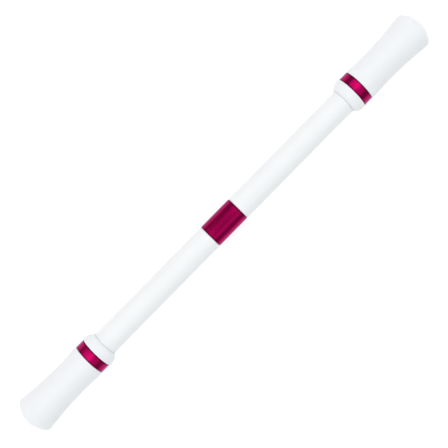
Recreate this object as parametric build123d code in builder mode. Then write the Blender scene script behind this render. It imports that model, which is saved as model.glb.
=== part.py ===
"""Finger-spinning ballpoint pen with a weighted pull-off cap at each end.

Millimetres. The long axis is X and +X is the writing end. +Z is up with the pen lying on a table.
The origin is the middle of the centre ring, on the axis, so a station is a distance from the middle.
"""

import os

from build123d import *

# ---------------------------------------------------------------- driving dimensions
LENGTH = 210.0  # over both domed ends
CAP_LENGTH = 41.0
RING_LENGTH = 14.75
BARREL_RADIUS = 5.0  # grip surface of both barrels and of the centre ring
THREAD_PITCH = 1.0  # one turn of the joint moves the rear half by this much
REFILL_RADIUS = 1.55  # slim stick refill
BALL_RADIUS = 0.35
FIT = 0.02  # a glued or pressed piece in its seat
RUNNING = 0.07  # a cap on its seat

# ---------------------------------------------------------------- stations along the axis
HALF = LENGTH / 2
RING_END = RING_LENGTH / 2
CAP_MOUTH = HALF - CAP_LENGTH
COLLAR_SHOULDER = CAP_MOUTH + 3.2  # the mouth's curve reaches the full radius here
COLLAR_END = CAP_MOUTH + 4.3  # the metal band starts here
BAND_END = COLLAR_END + 3.95
NECK = BAND_END + 1.95  # the cap runs straight this far behind the band
WAIST = CAP_MOUTH + 18.5  # slimmest place of the cap
RIM = HALF - 3.6  # corner between the flare and the domed end, before it is rounded
SLEEVE_END = HALF - 13.0  # closed end of the cap's inner sleeve

# ---------------------------------------------------------------- cap radii
COLLAR_RADIUS = 6.95
MOUTH_RADIUS = 5.25
BAND_RADIUS = 6.78
WAIST_RADIUS = 6.66
RIM_RADIUS = 8.0
RIM_ROUNDING = 2.4
SLEEVE_RADIUS = 5.75
SLEEVE_FLOOR = 1.0
VENT_WIDTH = 1.0
VENT_DEPTH = 0.3
VENT_START = CAP_MOUTH + 1.0

# ---------------------------------------------------------------- barrels
SEAT_RADIUS = BARREL_RADIUS - 0.2  # the barrel inside a cap
SLEEVE_BORE = SEAT_RADIUS + RUNNING
SEAT_START = CAP_MOUTH - 0.05
BARREL_NOSE = CAP_MOUTH + 11.5
REAR_END = -(SLEEVE_END - 2.7)
BARREL_BORE = 3.5
BARREL_EDGE = 0.25  # chamfers that make the fine line at each end of the centre ring
RING_EDGE = 0.3
END_EDGE = 0.4

# ---------------------------------------------------------------- the screw joint between the barrels
SPIGOT_RADIUS = 4.1  # smooth part of the rear barrel's spigot, and crest of its thread
SPIGOT_BORE = 2.9
SPIGOT_NECK = RING_END + 0.9  # the smooth part of the spigot ends here
SPIGOT_END = RING_END + 7.95
SOCKET_END = SPIGOT_END + 1.5
RING_CLEARANCE = 0.05
THREAD_START = RING_END + 1.95
THREAD_TURNS = 5.4
THREAD_ROOT = 3.7
THREAD_CLEARANCE = 0.08
MALE_FOOT = 0.66  # widths of the thread ridges along the axis
MALE_CREST = 0.2
FEMALE_FOOT = 0.64
FEMALE_CREST = 0.18

# ---------------------------------------------------------------- nib cone, refill and writing tip
CONE_TIP = BARREL_NOSE + 12.5
CONE_SPIGOT = 6.0
CONE_RADIUS = 4.45
CONE_TIP_RADIUS = 1.9
CONE_EDGE = 0.3
CONE_TIP_ROUNDING = 0.2
REFILL_SHOULDER = BARREL_NOSE + 8.3  # the refill is pushed up against this step in the cone
REFILL_TAIL = -16.5
REFILL_BORE = 0.95
REFILL_LOOSENESS = 0.03
INK_TAIL = -6.0
TIP_RADIUS = 1.2
SHANK_LENGTH = 4.0
BALL_CENTRE = CONE_TIP + 2.2
BALL_CLEARANCE = 0.01
POINT_LENGTH = 1.8
LIP_REACH = 0.15  # the lip closes over the ball this far past its middle
LIP_RADIUS = 0.42
LIP_OPENING = 0.2
INK_CHANNEL = 0.15
INK_BORE = 0.35
CHANNEL_LENGTH = 1.0
CHANNEL_TAPER = 0.2

# ---------------------------------------------------------------- tail socket and rear plug
SOCKET_FACE = -12.0
TAIL_SOCKET_LENGTH = 11.0
HUB_RADIUS = 2.4
FIN_WIDTH = 0.9
FLANGE = 1.2
AIR_HOLE_RADIUS = 0.6
PLUG_LENGTH = 6.0
PLUG_HEAD_RADIUS = SEAT_RADIUS - 0.1
PLUG_WALL = 1.0
PLUG_FACE = 1.0
PLUG_ROUNDING = 0.5

# ---------------------------------------------------------------- the weight in each cap
PAD_THICKNESS = 1.0
PAD_RADIUS = 4.9
WEIGHT_RADIUS = 5.0
WEIGHT_LENGTH = 8.2
WEIGHT_EDGE = 0.5
POCKET_RADIUS = WEIGHT_RADIUS + 0.05
WEIGHT_START = SLEEVE_END + PAD_THICKNESS
POCKET_END = WEIGHT_START + WEIGHT_LENGTH

# ---------------------------------------------------------------- small roundings
MOUTH_ROUNDING = 0.12
LIP_CHAMFER = 0.15
MOUTH_CHAMFER = 0.1
SEAM_ROUNDING = 0.15
BAND_EDGE = 0.25
SEAM_GAP = 0.03  # left between two pieces that meet end to end


def bar(start, end, radius, mode=Mode.ADD):
    """Adds or cuts a round bar along X between two stations."""
    with BuildSketch(Plane.YZ.offset(start)) as disc:
        Circle(radius)
    extrude(disc.sketch, amount=end - start, mode=mode)


def edges_at(part, station):
    """The round edges of a part at one station along X."""
    round_edges = part.edges().filter_by(GeomType.CIRCLE)
    return round_edges.filter_by_position(Axis.X, station - 0.01, station + 0.01)


def outer_edge(part, station):
    return edges_at(part, station).sort_by(SortBy.RADIUS)[-1]


def inner_edge(part, station):
    return edges_at(part, station).sort_by(SortBy.RADIUS)[0]


def thread(start, turns, root, crest, foot_width, crest_width):
    """Adds a right-handed screw ridge, pointing outwards on a spigot or inwards in a socket."""
    sunk = 0.1 if crest > root else -0.1  # the ridge starts this deep in the wall, so that it joins cleanly
    height = crest - root
    foot = foot_width / 2 + sunk * (foot_width - crest_width) / (2 * height)
    length = turns * THREAD_PITCH
    path = Helix(THREAD_PITCH, length, root, center=(start, 0, 0), direction=(1, 0, 0), mode=Mode.PRIVATE)
    foot_point = path @ 0
    section_plane = Plane(foot_point, x_dir=Vector(0, foot_point.Y, foot_point.Z), z_dir=path % 0)
    with BuildSketch(section_plane) as section:
        with BuildLine():
            Polyline(
                (-sunk, -foot),
                (height, -crest_width / 2),
                (height, crest_width / 2),
                (-sunk, foot),
                close=True,
            )
        make_face()
    sweep(section.sketch, path=path, is_frenet=True)


def save(piece, name):
    piece.label = name
    export_step(piece, f"parts/{name}.step")


os.makedirs("parts", exist_ok=True)

# ================================================================ front half, which holds the refill

with BuildPart() as front_barrel:
    bar(RING_END, SEAT_START, BARREL_RADIUS)
    bar(SEAT_START, BARREL_NOSE, SEAT_RADIUS)
    bar(RING_END, SOCKET_END, SPIGOT_RADIUS + THREAD_CLEARANCE, Mode.SUBTRACT)
    bar(SOCKET_END, BARREL_NOSE, BARREL_BORE, Mode.SUBTRACT)
    chamfer(outer_edge(front_barrel, RING_END), BARREL_EDGE)
    chamfer(outer_edge(front_barrel, BARREL_NOSE), END_EDGE)
    chamfer(inner_edge(front_barrel, RING_END), LIP_CHAMFER)
    thread(
        THREAD_START - THREAD_PITCH / 2,
        THREAD_TURNS + 1,
        SPIGOT_RADIUS + THREAD_CLEARANCE,
        THREAD_ROOT + THREAD_CLEARANCE,
        FEMALE_FOOT,
        FEMALE_CREST,
    )
save(front_barrel.part, "front_barrel")

with BuildPart() as nib_cone:
    with BuildSketch(Plane.XY):
        with BuildLine():
            flank = TangentArc((BARREL_NOSE, CONE_RADIUS), (CONE_TIP, CONE_TIP_RADIUS), tangent=(1, -0.1))
            Polyline(
                flank @ 1,
                (CONE_TIP, TIP_RADIUS + REFILL_LOOSENESS),
                (REFILL_SHOULDER + SEAM_GAP, TIP_RADIUS + REFILL_LOOSENESS),
                (REFILL_SHOULDER + SEAM_GAP, REFILL_RADIUS + REFILL_LOOSENESS),
                (BARREL_NOSE - CONE_SPIGOT, REFILL_RADIUS + REFILL_LOOSENESS),
                (BARREL_NOSE - CONE_SPIGOT, BARREL_BORE - FIT),
                (BARREL_NOSE, BARREL_BORE - FIT),
                flank @ 0,
            )
        make_face()
    revolve(axis=Axis.X)
    chamfer(outer_edge(nib_cone, BARREL_NOSE - CONE_SPIGOT), CONE_EDGE)
    fillet(outer_edge(nib_cone, CONE_TIP), CONE_TIP_ROUNDING)
save(nib_cone.part, "nib_cone")

with BuildPart() as refill_tube:
    bar(REFILL_TAIL, REFILL_SHOULDER, REFILL_RADIUS)
    bar(REFILL_TAIL, REFILL_SHOULDER, REFILL_BORE, Mode.SUBTRACT)
save(refill_tube.part, "refill_tube")

with BuildPart() as refill_ink:
    bar(INK_TAIL, REFILL_SHOULDER - SHANK_LENGTH, REFILL_BORE)
save(refill_ink.part, "refill_ink")

with BuildPart() as refill_tip:
    with BuildSketch(Plane.XY):
        with BuildLine():
            Polyline(
                (REFILL_SHOULDER - SHANK_LENGTH, INK_BORE),
                (REFILL_SHOULDER - SHANK_LENGTH, REFILL_BORE),
                (REFILL_SHOULDER, REFILL_BORE),
                (REFILL_SHOULDER, TIP_RADIUS),
                (BALL_CENTRE - POINT_LENGTH, TIP_RADIUS),
                (BALL_CENTRE + LIP_REACH, LIP_RADIUS),
                (BALL_CENTRE + LIP_REACH, LIP_OPENING),
                (BALL_CENTRE, LIP_OPENING),
                (BALL_CENTRE, INK_CHANNEL),
                (BALL_CENTRE - CHANNEL_LENGTH, INK_CHANNEL),
                (BALL_CENTRE - CHANNEL_LENGTH - CHANNEL_TAPER, INK_BORE),
                close=True,
            )
        make_face()
    revolve(axis=Axis.X)
    with Locations((BALL_CENTRE, 0, 0)):
        Sphere(BALL_RADIUS + BALL_CLEARANCE, mode=Mode.SUBTRACT)
save(refill_tip.part, "refill_tip")

with BuildPart() as tip_ball:
    with Locations((BALL_CENTRE, 0, 0)):
        Sphere(BALL_RADIUS)
save(tip_ball.part, "tip_ball")

# ================================================================ centre ring, trapped on the rear spigot

with BuildPart() as centre_ring:
    bar(-RING_END, RING_END, BARREL_RADIUS)
    bar(-RING_END, RING_END, SPIGOT_RADIUS + RING_CLEARANCE, Mode.SUBTRACT)
    for ring_face in (-RING_END, RING_END):
        chamfer(outer_edge(centre_ring, ring_face), RING_EDGE)
        chamfer(inner_edge(centre_ring, ring_face), LIP_CHAMFER)
save(centre_ring.part, "centre_ring")

# ================================================================ rear half, which screws into the front

with BuildPart() as rear_barrel:
    bar(REAR_END, -SEAT_START, SEAT_RADIUS)
    bar(-SEAT_START, -RING_END, BARREL_RADIUS)
    bar(-RING_END, SPIGOT_NECK, SPIGOT_RADIUS)
    bar(SPIGOT_NECK, SPIGOT_END, THREAD_ROOT)
    bar(REAR_END, SOCKET_FACE, BARREL_BORE, Mode.SUBTRACT)
    bar(SOCKET_FACE, SPIGOT_END, SPIGOT_BORE, Mode.SUBTRACT)
    chamfer(outer_edge(rear_barrel, -RING_END), BARREL_EDGE)
    chamfer(outer_edge(rear_barrel, REAR_END), END_EDGE)
    chamfer(outer_edge(rear_barrel, SPIGOT_END), CONE_EDGE)
    thread(THREAD_START, THREAD_TURNS, THREAD_ROOT, SPIGOT_RADIUS, MALE_FOOT, MALE_CREST)
save(rear_barrel.part, "rear_barrel")

# a finned cup that centres the refill's tail
with BuildPart() as refill_tail_socket:
    socket_back = SOCKET_FACE - TAIL_SOCKET_LENGTH
    bar(socket_back, SOCKET_FACE, HUB_RADIUS)
    with BuildSketch(Plane.YZ.offset(socket_back)):
        Rectangle(2 * BARREL_BORE, FIN_WIDTH)
        Rectangle(FIN_WIDTH, 2 * BARREL_BORE)
        Circle(BARREL_BORE, mode=Mode.INTERSECT)
    extrude(amount=TAIL_SOCKET_LENGTH)
    bar(SOCKET_FACE - FLANGE, SOCKET_FACE, BARREL_BORE)
    bar(REFILL_TAIL, SOCKET_FACE, REFILL_RADIUS + FIT, Mode.SUBTRACT)
    bar(socket_back, SOCKET_FACE, AIR_HOLE_RADIUS, Mode.SUBTRACT)
save(refill_tail_socket.part, "refill_tail_socket")

with BuildPart() as rear_plug:
    plug_back = REAR_END + PLUG_LENGTH
    bar(REAR_END - FLANGE, REAR_END, PLUG_HEAD_RADIUS)
    bar(REAR_END, plug_back, BARREL_BORE)
    bar(REAR_END + PLUG_FACE, plug_back, BARREL_BORE - PLUG_WALL, Mode.SUBTRACT)
    fillet(outer_edge(rear_plug, REAR_END - FLANGE), PLUG_ROUNDING)
    chamfer(outer_edge(rear_plug, plug_back), CONE_EDGE)
save(rear_plug.part, "rear_plug")

# ================================================================ the weighted cap, the same at both ends

with BuildPart() as cap_shell:
    with BuildSketch(Plane.XY) as shell_section:
        with BuildLine():
            TangentArc((WAIST, WAIST_RADIUS), (RIM, RIM_RADIUS), tangent=(1, 0))
            neck = TangentArc((WAIST, WAIST_RADIUS), (NECK, COLLAR_RADIUS), tangent=(-1, 0))
            TangentArc((HALF, 0), (RIM, RIM_RADIUS), tangent=(0, 1))
            Polyline(
                (HALF, 0),
                (POCKET_END, 0),
                (POCKET_END, POCKET_RADIUS),
                (SLEEVE_END, POCKET_RADIUS),
                (SLEEVE_END, SLEEVE_RADIUS),
                (BAND_END, SLEEVE_RADIUS),
                (BAND_END, COLLAR_RADIUS),
                neck @ 1,
            )
        make_face()
        fillet(shell_section.vertices().sort_by(Axis.Y)[-1], RIM_ROUNDING)
    revolve(axis=Axis.X)
    fillet(outer_edge(cap_shell, BAND_END), SEAM_ROUNDING)

with BuildPart() as cap_band:
    band_faces = (COLLAR_END + SEAM_GAP, BAND_END - SEAM_GAP)
    bar(*band_faces, BAND_RADIUS)
    bar(*band_faces, SLEEVE_RADIUS + FIT, Mode.SUBTRACT)
    for band_face in band_faces:
        chamfer(outer_edge(cap_band, band_face), BAND_EDGE)

with BuildPart() as cap_inner_sleeve:
    with BuildSketch(Plane.XY):
        with BuildLine():
            shoulder = TangentArc(
                (COLLAR_SHOULDER, COLLAR_RADIUS),
                (CAP_MOUTH, MOUTH_RADIUS),
                tangent=(-1, 0),
            )
            Polyline(
                shoulder @ 1,
                (CAP_MOUTH, SLEEVE_BORE),
                (SLEEVE_END - SLEEVE_FLOOR, SLEEVE_BORE),
                (SLEEVE_END - SLEEVE_FLOOR, 0),
                (SLEEVE_END, 0),
                (SLEEVE_END, SLEEVE_RADIUS),
                (COLLAR_END, SLEEVE_RADIUS),
                (COLLAR_END, COLLAR_RADIUS),
                shoulder @ 0,
            )
        make_face()
    revolve(axis=Axis.X)
    fillet(outer_edge(cap_inner_sleeve, CAP_MOUTH), MOUTH_ROUNDING)
    fillet(outer_edge(cap_inner_sleeve, COLLAR_END), SEAM_ROUNDING)
    chamfer(inner_edge(cap_inner_sleeve, CAP_MOUTH), MOUTH_CHAMFER)
    # three shallow grooves let the air out as the cap goes on
    with BuildSketch(Plane.YZ.offset(VENT_START)):
        with PolarLocations(SLEEVE_BORE, 3):
            Rectangle(2 * VENT_DEPTH, VENT_WIDTH)
    extrude(amount=SLEEVE_END - SLEEVE_FLOOR - VENT_START, mode=Mode.SUBTRACT)

with BuildPart() as cap_weight_pad:
    bar(SLEEVE_END, WEIGHT_START, PAD_RADIUS)

with BuildPart() as cap_weight:
    bar(WEIGHT_START, POCKET_END, WEIGHT_RADIUS)
    chamfer(cap_weight.edges().filter_by(GeomType.CIRCLE), WEIGHT_EDGE)

cap_pieces = {
    "cap_shell": cap_shell,
    "cap_band": cap_band,
    "cap_inner_sleeve": cap_inner_sleeve,
    "cap_weight_pad": cap_weight_pad,
    "cap_weight": cap_weight,
}
for name, piece in cap_pieces.items():
    save(piece.part, f"front_{name}")
    save(piece.part.rotate(Axis.Z, 180), f"rear_{name}")
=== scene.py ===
import math

import bmesh
import bpy
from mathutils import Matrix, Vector


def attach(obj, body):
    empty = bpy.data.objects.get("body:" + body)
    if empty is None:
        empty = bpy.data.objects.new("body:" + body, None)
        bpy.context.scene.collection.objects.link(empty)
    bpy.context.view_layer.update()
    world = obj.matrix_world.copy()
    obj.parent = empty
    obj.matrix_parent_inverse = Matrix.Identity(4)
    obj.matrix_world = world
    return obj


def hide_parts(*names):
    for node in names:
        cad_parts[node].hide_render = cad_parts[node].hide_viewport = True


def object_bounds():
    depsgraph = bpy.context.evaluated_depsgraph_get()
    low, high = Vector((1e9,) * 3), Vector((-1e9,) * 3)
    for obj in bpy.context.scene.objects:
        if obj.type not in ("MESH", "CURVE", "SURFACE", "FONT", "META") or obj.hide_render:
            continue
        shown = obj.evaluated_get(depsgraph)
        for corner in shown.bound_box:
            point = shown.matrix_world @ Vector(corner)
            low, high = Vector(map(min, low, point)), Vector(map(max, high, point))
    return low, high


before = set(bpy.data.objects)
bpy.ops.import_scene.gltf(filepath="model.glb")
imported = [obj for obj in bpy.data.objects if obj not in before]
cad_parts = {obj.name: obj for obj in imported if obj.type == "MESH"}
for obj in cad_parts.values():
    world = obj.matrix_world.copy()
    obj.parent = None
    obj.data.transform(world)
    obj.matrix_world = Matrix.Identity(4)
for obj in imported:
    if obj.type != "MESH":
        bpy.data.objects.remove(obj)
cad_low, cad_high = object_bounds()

MM = 0.001
TAU = 2 * math.pi
SEGMENTS = 256  # faces round a turned piece
SHARP_ANGLE = math.radians(32)  # steeper edges are drawn sharp
ON_AXIS = 1e-6  # a point nearer to the axis than this, in millimetres, lies on it

# ---------------------------------------------------------------- sizes, in millimetres
# Those of part.py, but every station is a plain distance from the pen's middle, at the rear end too.
HALF = 105.0
RING_END = 7.375
BARREL_RADIUS = 5.0
CAP_MOUTH = 64.0
COLLAR_SHOULDER = CAP_MOUTH + 3.2
COLLAR_END = CAP_MOUTH + 4.3
BAND_END = COLLAR_END + 3.95
NECK = BAND_END + 1.95
WAIST = CAP_MOUTH + 18.5
RIM = HALF - 3.6
SLEEVE_END = HALF - 13.0
SLEEVE_FLOOR = 1.0
SLEEVE_BORE = 4.87
SLEEVE_RADIUS = 5.75
SEAT_RADIUS = 4.8
SEAT_START = CAP_MOUTH - 0.05
VENT_START = CAP_MOUTH + 1.0
VENT_COUNT = 3
VENT_WIDTH = 1.0
VENT_DEPTH = 0.3
COLLAR_RADIUS = 6.95
MOUTH_RADIUS = 5.25
BAND_RADIUS = 6.78
WAIST_RADIUS = 6.66
RIM_RADIUS = 7.99  # a hundredth less than in part.py, so that the rounded rim stays inside the CAD's
RIM_ROUNDING = 2.4
BARREL_BORE = 3.5
BARREL_NOSE = CAP_MOUTH + 11.5
REAR_END = SLEEVE_END - 2.7
SPIGOT_RADIUS = 4.1
SPIGOT_BORE = 2.9
SPIGOT_NECK = RING_END + 0.9
SPIGOT_END = RING_END + 7.95
THREAD_CLEARANCE = 0.08
SOCKET_RADIUS = SPIGOT_RADIUS + THREAD_CLEARANCE
SOCKET_END = SPIGOT_END + 1.5
SOCKET_FACE = 12.0
THREAD_ROOT = 3.7
THREAD_PITCH = 1.0
THREAD_START = RING_END + 1.95
THREAD_TURNS = 5.4
MALE_FOOT = 0.66  # widths of the thread ridges along the axis
MALE_CREST = 0.2
FEMALE_FOOT = 0.64
FEMALE_CREST = 0.18
RING_CLEARANCE = 0.05
POCKET_RADIUS = 5.05
POCKET_END = SLEEVE_END + 9.2

# ---------------------------------------------------------------- edges and seams, in millimetres
END_EDGE = 0.4
BARREL_EDGE = 0.25
RING_EDGE = 0.3
RING_MOUTH = SPIGOT_RADIUS + 0.2
LIP_CHAMFER = 0.15
BAND_EDGE = 0.25
BAND_BORE = SLEEVE_RADIUS + 0.02
SEAM_GAP = 0.03  # on each side of a band
SHELL_EDGE = 0.12
SHELL_EDGE_MIDDLE = 0.035
SLEEVE_EDGE = 0.12
BORE_EDGE = 0.1
SPIGOT_CHAMFER = 0.3
SEAM_SOFTNESS = 0.03  # small roundings, which catch the light
EDGE_SOFTNESS = 0.04
CHAMFER_SOFTNESS = 0.05
NOSE_SOFTNESS = 0.15
VENT_STEP = 0.02  # over which an air groove reaches its depth
FLARE_GAP = 0.05  # between the flare's last point and the rim's rounding
DOME_GAP = 0.02


# ---------------------------------------------------------------- outlines: lists of (x, r) in millimetres
def arc_between(start, end, tangent, steps):
    """Points of the arc that leaves start along tangent and meets end, both ends included."""
    tx, ty = tangent
    dx, dy = end[0] - start[0], end[1] - start[1]
    nx, ny = -ty, tx
    side = dx * nx + dy * ny
    radius = (dx * dx + dy * dy) / (2 * side)
    cx, cy = start[0] + nx * radius, start[1] + ny * radius
    first = math.atan2(start[1] - cy, start[0] - cx)
    turn = math.atan2(end[1] - cy, end[0] - cx) - first
    turn = (turn + math.pi) % TAU - math.pi
    if radius > 0 and turn < 0:
        turn += TAU
    if radius < 0 and turn > 0:
        turn -= TAU
    angles = [first + turn * i / steps for i in range(steps + 1)]
    return [(cx + abs(radius) * math.cos(angle), cy + abs(radius) * math.sin(angle)) for angle in angles]


def corner_arc(before, corner, after, radius, steps):
    """Points of the rounding of a corner, between the runs that lead to the points before and after it."""
    corner = Vector(corner)
    back_run = (Vector(before) - corner).normalized()
    on_run = (Vector(after) - corner).normalized()
    half_angle = back_run.angle(on_run) / 2
    centre = corner + (back_run + on_run).normalized() * (radius / math.sin(half_angle))
    first = corner + back_run * (radius / math.tan(half_angle))
    last = corner + on_run * (radius / math.tan(half_angle))
    start = math.atan2(first.y - centre.y, first.x - centre.x)
    turn = math.atan2(last.y - centre.y, last.x - centre.x) - start
    turn = (turn + math.pi) % TAU - math.pi
    angles = [start + turn * i / steps for i in range(steps + 1)]
    return [(centre.x + radius * math.cos(angle), centre.y + radius * math.sin(angle)) for angle in angles]


def rounded(points, roundings):
    """The closed outline with some corners rounded. roundings maps a corner's number to its radius."""
    out = []
    for i, point in enumerate(points):
        if i in roundings:
            after = points[(i + 1) % len(points)]
            out += corner_arc(points[i - 1], point, after, roundings[i], steps=6)
        else:
            out.append(point)
    return out


def lathe(name, outline, facing, relief):
    """A mesh turned on the long axis from a closed outline. Facing -1 swings it half round to the -X end.
    relief changes a point's radius from its x, radius and angle before the swing."""
    bm = bmesh.new()
    rings = []
    for x, r in outline:
        if r < ON_AXIS:
            rings.append([bm.verts.new((facing * x * MM, 0, 0))])
            continue
        ring = []
        for k in range(SEGMENTS):
            angle = TAU * k / SEGMENTS
            radius = relief(x, r, angle) if relief else r
            place = (facing * x, facing * radius * math.cos(angle), radius * math.sin(angle))
            ring.append(bm.verts.new(Vector(place) * MM))
        rings.append(ring)
    for i, ring in enumerate(rings):
        after = rings[(i + 1) % len(rings)]
        if len(ring) == 1 and len(after) == 1:
            continue
        for k in range(SEGMENTS):
            m = (k + 1) % SEGMENTS
            if len(ring) == 1:
                corners = (ring[0], after[m], after[k])
            elif len(after) == 1:
                corners = (ring[k], ring[m], after[0])
            else:
                corners = (ring[k], ring[m], after[m], after[k])
            bm.faces.new(corners)
    bmesh.ops.recalc_face_normals(bm, faces=bm.faces)
    mesh = bpy.data.meshes.new(name)
    bm.to_mesh(mesh)
    bm.free()
    mesh.shade_smooth()
    mesh.set_sharp_from_angle(angle=SHARP_ANGLE)
    return mesh


def turned(name, outline, body, material, node, facing=1, relief=None):
    """A turned piece that rides on a body and stands for one CAD node."""
    mesh = lathe(name, outline, facing, relief)
    mesh.materials.append(material)
    piece = bpy.data.objects.new(name, mesh)
    bpy.context.scene.collection.objects.link(piece)
    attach(piece, body)
    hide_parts(node)


# ---------------------------------------------------------------- materials
class Nodes:
    """The node tree of a material or a world, with short ways to add and join nodes."""

    def __init__(self, owner, shader_name="Principled BSDF"):
        owner.use_nodes = True
        self.owner = owner
        self.tree = owner.node_tree
        self.shader = self.tree.nodes[shader_name]

    def add(self, kind, **settings):
        node = self.tree.nodes.new(kind)
        for key, value in settings.items():
            setattr(node, key, value)
        return node

    def join(self, source, target):
        self.tree.links.new(source, target)

    def feed(self, source, name):
        """Joins a changing value to an input of the shader."""
        self.join(source, self.shader.inputs[name])

    def fix(self, name, value):
        """Gives an input of the shader the same value all over."""
        self.shader.inputs[name].default_value = value

    def place(self, scale=(1, 1, 1)):
        """Where a point is on the piece, in metres, stretched by scale."""
        where = self.add("ShaderNodeTexCoord")
        mapping = self.add("ShaderNodeMapping")
        mapping.inputs["Scale"].default_value = scale
        self.join(where.outputs["Object"], mapping.inputs["Vector"])
        return mapping.outputs["Vector"]

    def noise(self, vector, scale, detail=2.0, roughness=0.5):
        node = self.add("ShaderNodeTexNoise")
        node.inputs["Scale"].default_value = scale
        node.inputs["Detail"].default_value = detail
        node.inputs["Roughness"].default_value = roughness
        self.join(vector, node.inputs["Vector"])
        return node.outputs["Fac"]

    def span(self, value, low, high, from_low=0.3, from_high=0.7):
        """Maps a value's range, which is a noise's unless another is given, to low and high."""
        node = self.add("ShaderNodeMapRange")
        node.inputs["From Min"].default_value = from_low
        node.inputs["From Max"].default_value = from_high
        node.inputs["To Min"].default_value = low
        node.inputs["To Max"].default_value = high
        self.join(value, node.inputs["Value"])
        return node.outputs["Result"]

    def between(self, value, colour_a, colour_b):
        """A mix of two colours, where the first may come from another node."""
        node = self.add("ShaderNodeMix", data_type="RGBA")
        self.join(value, node.inputs["Factor"])
        if isinstance(colour_a, tuple):
            node.inputs["A"].default_value = (*colour_a, 1)
        else:
            self.join(colour_a, node.inputs["A"])
        node.inputs["B"].default_value = (*colour_b, 1)
        return node.outputs["Result"]

    def math(self, operation, first, second=None):
        node = self.add("ShaderNodeMath", operation=operation)
        for value, target in ((first, node.inputs[0]), (second, node.inputs[1])):
            if isinstance(value, (int, float)):
                target.default_value = value
            elif value is not None:
                self.join(value, target)
        return node.outputs["Value"]

    def along(self, vector):
        """How far a vector reaches along the pen, either way."""
        split = self.add("ShaderNodeSeparateXYZ")
        self.join(vector, split.inputs["Vector"])
        return self.math("ABSOLUTE", split.outputs["X"])

    def bump(self, height, distance, strength):
        node = self.add("ShaderNodeBump")
        node.inputs["Strength"].default_value = strength
        node.inputs["Distance"].default_value = distance
        self.join(height, node.inputs["Height"])
        return node.outputs["Normal"]


def satin_plastic(name, light, shade, roughness):
    """Moulded plastic with a fine spark-eroded grain and faint flow clouds in its colour."""
    n = Nodes(bpy.data.materials.new(name))
    clouds = n.noise(n.place(), scale=70, detail=3, roughness=0.55)
    n.feed(n.between(n.span(clouds, 0, 1), light, shade), "Base Color")
    patches = n.noise(n.place(), scale=420, detail=3, roughness=0.6)
    n.feed(n.span(patches, roughness - 0.04, roughness + 0.05), "Roughness")
    grain = n.noise(n.place(), scale=5200, roughness=0.6)
    n.feed(n.bump(grain, distance=0.01 * MM, strength=0.35), "Normal")
    n.fix("IOR", 1.46)
    n.fix("Specular IOR Level", 0.4)
    return n.owner


# Painted shade: beside the ends of the ring and the bands, the metal's colour is darkened, which draws dark
# lines at their edges.
PAINTED_EDGE_SHADE = 0.4  # of the colour's brightness, where the painted edge shade is darkest
PAINTED_SHADE_FULL = 0.25 * MM  # distance from an end up to which it is darkest
PAINTED_SHADE_GONE = 0.7 * MM


def turned_metal(name, colour, dark, roughness, edge=(1, 1, 1), ends=()):
    """Metal with the fine rings that a lathe leaves round it, and slight patches in its dye. edge tints it
    where it is seen aslant. Beside the ends, in millimetres from the pen's middle, its colour is darkened:
    painted shade."""
    n = Nodes(bpy.data.materials.new(name))
    n.fix("Metallic", 1.0)
    clouds = n.noise(n.place((1, 3, 3)), scale=260, detail=3, roughness=0.6)
    tone = n.between(n.span(clouds, 0, 1), colour, dark)
    # Painted shade: the colour darkens towards each of the ends.
    if ends:
        along = n.along(n.place())
        nearest = None
        for station in ends:
            gap = n.math("ABSOLUTE", n.math("SUBTRACT", along, station * MM))
            nearest = n.math("MINIMUM", nearest, gap) if nearest else gap
        depth = n.span(nearest, 1, 0, PAINTED_SHADE_FULL, PAINTED_SHADE_GONE)
        tone = n.between(depth, tone, tuple(PAINTED_EDGE_SHADE * part for part in colour))
    n.feed(tone, "Base Color")
    marks = n.noise(n.place((1, 0.02, 0.02)), scale=9000, roughness=0.7)
    n.feed(n.span(marks, roughness - 0.04, roughness + 0.06), "Roughness")
    n.feed(n.bump(marks, distance=0.0016 * MM, strength=0.8), "Normal")
    n.fix("Specular Tint", (*edge, 1))
    return n.owner


def glowing_paper(name, light, shade, glow):
    """Matt paper that glows a little, so that the pen's shadow on it stays faint."""
    n = Nodes(bpy.data.materials.new(name))
    clouds = n.noise(n.place(), scale=3)
    n.feed(n.between(n.span(clouds, 0, 1), light, shade), "Base Color")
    n.fix("Roughness", 0.9)
    n.fix("Specular IOR Level", 0.1)
    n.fix("Emission Color", (1, 1, 1, 1))
    n.fix("Emission Strength", glow)
    return n.owner


WHITE_BARREL = satin_plastic("white barrel", (0.727, 0.727, 0.737), (0.717, 0.718, 0.728), 0.42)
WHITE_CAP = satin_plastic("white cap", (0.706, 0.706, 0.722), (0.696, 0.696, 0.713), 0.42)
WHITE_INNER = satin_plastic("white inner", (0.78, 0.78, 0.77), (0.75, 0.75, 0.745), 0.38)
# Its colour is darkened beside the ring's ends and the bands' edges: painted shade.
MAGENTA = turned_metal(
    "magenta anodised", (0.355, 0.0022, 0.073), (0.325, 0.0018, 0.066), 0.2,
    edge=(0.85, 0.76, 1.0), ends=(RING_END, COLLAR_END, BAND_END),
)
STEEL = turned_metal("turned steel", (0.56, 0.57, 0.58), (0.5, 0.51, 0.52), 0.28)
BRASS = turned_metal("turned brass", (0.72, 0.62, 0.42), (0.66, 0.56, 0.36), 0.25)
BALL = turned_metal("polished ball", (0.5, 0.5, 0.52), (0.46, 0.46, 0.48), 0.12)
MILKY = satin_plastic("milky refill tube", (0.72, 0.75, 0.77), (0.68, 0.71, 0.74), 0.3)
INK = satin_plastic("ink", (0.012, 0.012, 0.016), (0.02, 0.02, 0.026), 0.16)
PAD = satin_plastic("pad rubber", (0.03, 0.03, 0.03), (0.045, 0.045, 0.045), 0.7)
PAPER = glowing_paper("paper floor", (0.5, 0.5, 0.5), (0.49, 0.49, 0.49), 0.57)

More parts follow.
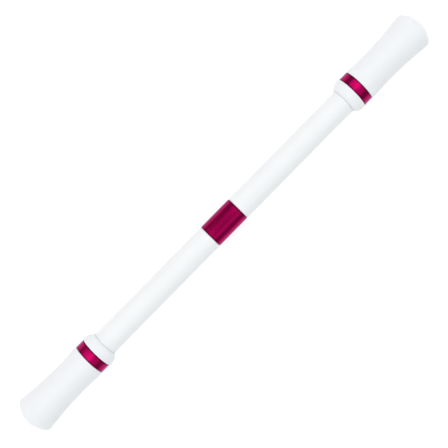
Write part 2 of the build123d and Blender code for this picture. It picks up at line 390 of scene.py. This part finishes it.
# ---------------------------------------------------------------- camera, straight above the pen
CAMERA_HEIGHT = 451.08 * MM
PICTURE_WIDTH = 168.4032 * MM  # of what the picture shows at the height of the pen's axis
SENSOR_WIDTH = 36
SLOPE = math.radians(45.47)  # of the pen in the picture
MIDDLE_RIGHT = 0.0489 * MM  # of the pen's middle from the picture's
MIDDLE_UP = 0.5864 * MM


def photo_camera():
    """The photo's view, from straight above."""
    data = bpy.data.cameras.new("camera")
    data.sensor_width = SENSOR_WIDTH
    data.lens = SENSOR_WIDTH * CAMERA_HEIGHT / PICTURE_WIDTH
    data.clip_start = 0.01
    data.clip_end = 50
    rightward = Vector((math.cos(SLOPE), -math.sin(SLOPE), 0))
    upward = Vector((math.sin(SLOPE), math.cos(SLOPE), 0))
    camera = bpy.data.objects.new("camera", data)
    camera.location = Vector((0, 0, CAMERA_HEIGHT)) - rightward * MIDDLE_RIGHT - upward * MIDDLE_UP
    camera.rotation_euler = (0, 0, -SLOPE)
    bpy.context.scene.collection.objects.link(camera)
    return camera


bpy.context.scene.camera = photo_camera()

# ---------------------------------------------------------------- floor
FLOOR_REACH = 3.0  # metres each way


def paper_floor():
    """A plain floor that the pen lies on."""
    bm = bmesh.new()
    bmesh.ops.create_grid(bm, x_segments=8, y_segments=8, size=FLOOR_REACH)
    mesh = bpy.data.meshes.new("floor")
    bm.to_mesh(mesh)
    bm.free()
    mesh.materials.append(PAPER)
    floor = bpy.data.objects.new("floor", mesh)
    floor.location.z = cad_low.z
    bpy.context.scene.collection.objects.link(floor)
    return floor


paper_floor()

# ---------------------------------------------------------------- room
ROOM_COLOUR = (0.955, 0.99, 1.0, 1)
ROOM_LIGHT = 0.44
ROOM_END_LIGHT = 1.1
ENDS_FROM = 0.7  # the part of a direction that lies along the pen, where the ends' light begins
ENDS_FULL = 0.9


def studio_world():
    """Even light from all round, stronger beyond the pen's ends."""
    n = Nodes(bpy.data.worlds.new("studio"), "Background")
    n.fix("Color", ROOM_COLOUR)
    direction = n.add("ShaderNodeTexCoord").outputs["Generated"]
    strength = n.span(n.along(direction), ROOM_LIGHT, ROOM_END_LIGHT, ENDS_FROM, ENDS_FULL)
    n.feed(strength, "Strength")
    return n.owner


bpy.context.scene.world = studio_world()

# ---------------------------------------------------------------- softboxes, in metres and radiances
BOX_DISTANCE = 1.3
BOX_REACH = 1.25  # half the length of the row of softboxes, along the pen
GAP = 0.15  # half the gap round the camera
REAR_BOX = 0.5  # sizes and places of the square boxes
REAR_PLACE = (-0.35, 1.15, 0.61)
CORNER_BOX = 0.6
CORNER_PLACE = (1.1, 0.85, 0.4)  # of the one towards +X and +Y
WARM = (1.0, 0.99, 0.99)  # colours of light
MINT = (0.93, 1.02, 1.0)
DEEP_MINT = (0.89, 1.0, 0.98)


def softbox(name, place, length, width, radiance, aim=(0, 0, 0), colour=(1, 1, 1)):
    """An area light at place that faces aim."""
    light = bpy.data.lights.new(name, "AREA")
    light.color = colour
    light.shape = "RECTANGLE"
    light.size = length
    light.size_y = width
    light.energy = radiance * math.pi * length * width
    box = bpy.data.objects.new(name, light)
    box.location = place
    box.rotation_mode = "QUATERNION"
    box.rotation_quaternion = (Vector(aim) - Vector(place)).to_track_quat("-Z", "Y")
    bpy.context.scene.collection.objects.link(box)


def long_softbox(name, lean, half_width, radiance, gap=0.0, colour=(1, 1, 1)):
    """A softbox along the pen, lean degrees from straight above towards +Y, in two halves when it has a gap.
    half_width is in degrees as well."""
    width = 2 * BOX_DISTANCE * math.tan(math.radians(half_width))
    away = Vector((0, math.sin(math.radians(lean)), math.cos(math.radians(lean)))) * BOX_DISTANCE
    spans = ((-BOX_REACH, -gap), (gap, BOX_REACH)) if gap else ((-BOX_REACH, BOX_REACH),)
    for i, (start, stop) in enumerate(spans):
        middle = Vector(((start + stop) / 2, 0, 0))
        softbox(f"{name} {i}", away + middle, stop - start, width, radiance, middle, colour)


long_softbox("key", lean=7, half_width=13, radiance=2.14, gap=GAP)
long_softbox("near side", lean=27, half_width=7, radiance=0.25)
long_softbox("side", lean=37, half_width=16, radiance=1.2, gap=GAP)
long_softbox("top", lean=-13, half_width=7, radiance=1.05, gap=GAP)
long_softbox("fill", lean=-36, half_width=15, radiance=0.62, colour=MINT)
softbox("rear side", REAR_PLACE, REAR_BOX, REAR_BOX, radiance=0.5)
for side, radiance, colour in ((1, 1.25, WARM), (-1, 1.72, DEEP_MINT)):
    for end in (1, -1):
        place = (CORNER_PLACE[0] * end, CORNER_PLACE[1] * side, CORNER_PLACE[2])
        softbox(f"corner {side} {end}", place, CORNER_BOX, CORNER_BOX, radiance, colour=colour)

bpy.context.scene.view_settings.view_transform = "Standard"
bpy.context.scene.view_settings.look = "None"

# ---------------------------------------------------------------- the screw thread
THREAD_STEP = THREAD_PITCH / 20  # between the points that carry a thread
RUN_OUT = 0.06  # turns over which a ridge rises at its ends
RUN_SLACK = 1e-9  # turns, for rounding
SOCKET_WALL_START = RING_END + 0.3
SOCKET_WALL_END = SOCKET_END - 0.2
SOCKET_RIDGE_START = RING_END + 0.4
SOCKET_RIDGE_END = SOCKET_END - 0.3


def thread_wall(start, end, radius):
    """Points along a straight wall, close enough together to carry a thread."""
    steps = round(abs(end - start) / THREAD_STEP)
    return [(start + (end - start) * i / steps, radius) for i in range(steps + 1)]


def ridge(distance, foot, crest):
    """How much of a thread's height stands at this distance along the axis from a ridge's middle."""
    if distance <= crest / 2:
        return 1.0
    if distance >= foot / 2:
        return 0.0
    return (foot / 2 - distance) / (foot / 2 - crest / 2)


def thread_height(x, angle, start, turns, foot, crest):
    """Height from 0 to 1, at this place, of a right-handed thread that starts at the top."""
    turn_part = ((angle - math.pi / 2) / TAU) % 1.0
    nearest = start + THREAD_PITCH * (turn_part + round((x - start) / THREAD_PITCH - turn_part))
    run = (nearest - start) / THREAD_PITCH
    if run < -RUN_SLACK or run > turns:
        return 0.0
    ends = min(1.0, run / RUN_OUT, (turns - run) / RUN_OUT)
    return ends * ridge(abs(x - nearest), foot, crest)


def male_relief(x, r, angle):
    """The rear barrel is swung to the -X end, so its spigot is drawn at negative x."""
    if r != THREAD_ROOT or -x < SPIGOT_NECK:
        return r
    swung = math.pi - angle
    rise = thread_height(-x, swung, THREAD_START, THREAD_TURNS, MALE_FOOT, MALE_CREST)
    return r + (SPIGOT_RADIUS - THREAD_ROOT) * rise


def female_relief(x, r, angle):
    """The socket's ridges lie midway between the spigot's, and leave both ends of the wall plain."""
    if r != SOCKET_RADIUS or x > SOCKET_RIDGE_END or x < SOCKET_RIDGE_START:
        return r
    start = THREAD_START - THREAD_PITCH / 2
    rise = thread_height(x, angle, start, THREAD_TURNS + 1, FEMALE_FOOT, FEMALE_CREST)
    return r - (SPIGOT_RADIUS - THREAD_ROOT) * rise


# ---------------------------------------------------------------- the two barrels
BARREL_CORNERS = {
    0: SEAM_SOFTNESS,
    1: CHAMFER_SOFTNESS,
    2: EDGE_SOFTNESS,
    4: NOSE_SOFTNESS,
    5: NOSE_SOFTNESS,
}


def barrel_outside(nose):
    """A barrel's outside, from its face at the ring to the bore in its other end, at nose."""
    return [
        (RING_END, BARREL_RADIUS - BARREL_EDGE),
        (RING_END + BARREL_EDGE, BARREL_RADIUS),
        (SEAT_START, BARREL_RADIUS),
        (SEAT_START, SEAT_RADIUS),
        (nose - END_EDGE, SEAT_RADIUS),
        (nose, SEAT_RADIUS - END_EDGE),
        (nose, BARREL_BORE),
    ]


def front_barrel_outline():
    """The barrel with the threaded socket."""
    outline = barrel_outside(BARREL_NOSE)
    outline += [(SOCKET_END, BARREL_BORE), (SOCKET_END, SOCKET_RADIUS)]
    outline += thread_wall(SOCKET_WALL_END, SOCKET_WALL_START, SOCKET_RADIUS)
    outline += [(RING_END + LIP_CHAMFER, SOCKET_RADIUS), (RING_END, SOCKET_RADIUS + LIP_CHAMFER)]
    return rounded(outline, BARREL_CORNERS)


def rear_barrel_outline():
    """The barrel with the threaded spigot, which reaches through the ring into the socket."""
    outline = barrel_outside(REAR_END)
    outline += [(SOCKET_FACE, BARREL_BORE), (SOCKET_FACE, SPIGOT_BORE)]
    outline += [(-SPIGOT_END, SPIGOT_BORE), (-SPIGOT_END, THREAD_ROOT - SPIGOT_CHAMFER)]
    outline += thread_wall(-SPIGOT_END + SPIGOT_CHAMFER, -SPIGOT_NECK, THREAD_ROOT)
    outline += [(-SPIGOT_NECK, SPIGOT_RADIUS), (RING_END, SPIGOT_RADIUS)]
    return rounded(outline, BARREL_CORNERS)


turned(
    "front_barrel_moulding", front_barrel_outline(), "front_half",
    WHITE_BARREL, "front_barrel", relief=female_relief,
)
turned(
    "rear_barrel_moulding", rear_barrel_outline(), "rear_half",
    WHITE_BARREL, "rear_barrel", facing=-1, relief=male_relief,
)


# ---------------------------------------------------------------- centre ring
def ring_outline():
    """One half of the ring, with its mirror image before it."""
    half = [
        (RING_END - RING_EDGE, BARREL_RADIUS),
        (RING_END, BARREL_RADIUS - RING_EDGE),
        (RING_END, RING_MOUTH),
        (RING_END - LIP_CHAMFER, SPIGOT_RADIUS + RING_CLEARANCE),
    ]
    outline = [(-x, r) for x, r in reversed(half)] + [(0, BARREL_RADIUS)] + half
    return rounded(outline, {2: EDGE_SOFTNESS, 3: CHAMFER_SOFTNESS, 5: CHAMFER_SOFTNESS, 6: EDGE_SOFTNESS})


turned("centre_ring_turning", ring_outline(), "ring", MAGENTA, "centre_ring")


# ---------------------------------------------------------------- the weighted caps
def shell_outline():
    """The flared shell: neck, flare, rim and dome, then the pocket for the weight."""
    neck = arc_between((WAIST, WAIST_RADIUS), (NECK, COLLAR_RADIUS), (-1, 0), steps=24)
    flare = arc_between((WAIST, WAIST_RADIUS), (RIM, RIM_RADIUS), (1, 0), steps=40)
    dome = arc_between((HALF, 0), (RIM, RIM_RADIUS), (0, 1), steps=40)
    rim = corner_arc(flare[-4], (RIM, RIM_RADIUS), dome[-6], RIM_ROUNDING, steps=12)
    flare_kept = [point for point in flare[1:] if point[0] < rim[0][0] - FLARE_GAP]
    dome_kept = [point for point in reversed(dome) if point[0] > rim[-1][0] + DOME_GAP]
    return neck[::-1] + flare_kept + rim + dome_kept + [
        (POCKET_END, 0),
        (POCKET_END, POCKET_RADIUS),
        (SLEEVE_END, POCKET_RADIUS),
        (SLEEVE_END, SLEEVE_RADIUS),
        (BAND_END, SLEEVE_RADIUS),
        (BAND_END, COLLAR_RADIUS - SHELL_EDGE),
        (BAND_END + SHELL_EDGE_MIDDLE, COLLAR_RADIUS - SHELL_EDGE_MIDDLE),
        (BAND_END + SHELL_EDGE, COLLAR_RADIUS),
    ]


def band_outline():
    """The metal band between the collar and the shell."""
    start = COLLAR_END + SEAM_GAP
    stop = BAND_END - SEAM_GAP
    outline = [
        (start, BAND_BORE),
        (start, BAND_RADIUS - BAND_EDGE),
        (start + BAND_EDGE, BAND_RADIUS),
        (stop - BAND_EDGE, BAND_RADIUS),
        (stop, BAND_RADIUS - BAND_EDGE),
        (stop, BAND_BORE),
    ]
    return rounded(outline, {1: EDGE_SOFTNESS, 2: CHAMFER_SOFTNESS, 3: CHAMFER_SOFTNESS, 4: EDGE_SOFTNESS})


def sleeve_outline():
    """The inner sleeve, whose rounded collar is the cap's visible mouth."""
    floor_face = SLEEVE_END - SLEEVE_FLOOR
    shoulder = arc_between((COLLAR_SHOULDER, COLLAR_RADIUS), (CAP_MOUTH, MOUTH_RADIUS), (-1, 0), steps=24)
    outline = shoulder[::-1] + [
        (COLLAR_END, COLLAR_RADIUS),
        (COLLAR_END, SLEEVE_RADIUS),
        (SLEEVE_END, SLEEVE_RADIUS),
        (SLEEVE_END, 0),
        (floor_face, 0),
        (floor_face, SLEEVE_BORE),
        (VENT_START + VENT_STEP, SLEEVE_BORE),
        (VENT_START, SLEEVE_BORE),
        (CAP_MOUTH, SLEEVE_BORE),
    ]
    last = len(outline) - 1
    return rounded(outline, {0: SLEEVE_EDGE, len(shoulder): SLEEVE_EDGE, last: BORE_EDGE})


def vent_relief(x, r, angle):
    """Deepens the bore of the inner sleeve where the air grooves are."""
    from_groove = ((VENT_COUNT * angle + math.pi) % TAU - math.pi) / VENT_COUNT
    in_groove = abs(math.sin(from_groove)) * SLEEVE_BORE < VENT_WIDTH / 2
    return r + VENT_DEPTH if r == SLEEVE_BORE and x > VENT_START and in_groove else r


for end, facing in (("front", 1), ("rear", -1)):
    cap = f"{end}_cap"
    turned(
        f"{cap}_shell_moulding", shell_outline(), cap,
        WHITE_CAP, f"{cap}_shell", facing,
    )
    turned(
        f"{cap}_band_turning", band_outline(), cap,
        MAGENTA, f"{cap}_band", facing,
    )
    turned(
        f"{cap}_sleeve_moulding", sleeve_outline(), cap,
        WHITE_CAP, f"{cap}_inner_sleeve", facing, vent_relief,
    )

# ---------------------------------------------------------------- CAD nodes that keep their own shape
FINISHES = {
    "nib_cone": WHITE_INNER,
    "refill_tail_socket": WHITE_INNER,
    "rear_plug": WHITE_INNER,
    "refill_tube": MILKY,
    "refill_ink": INK,
    "refill_tip": BRASS,
    "tip_ball": BALL,
    "front_cap_weight": STEEL,
    "rear_cap_weight": STEEL,
    "front_cap_weight_pad": PAD,
    "rear_cap_weight_pad": PAD,
}
for node, finish in FINISHES.items():
    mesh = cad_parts[node].data
    mesh.materials.clear()
    mesh.materials.append(finish)
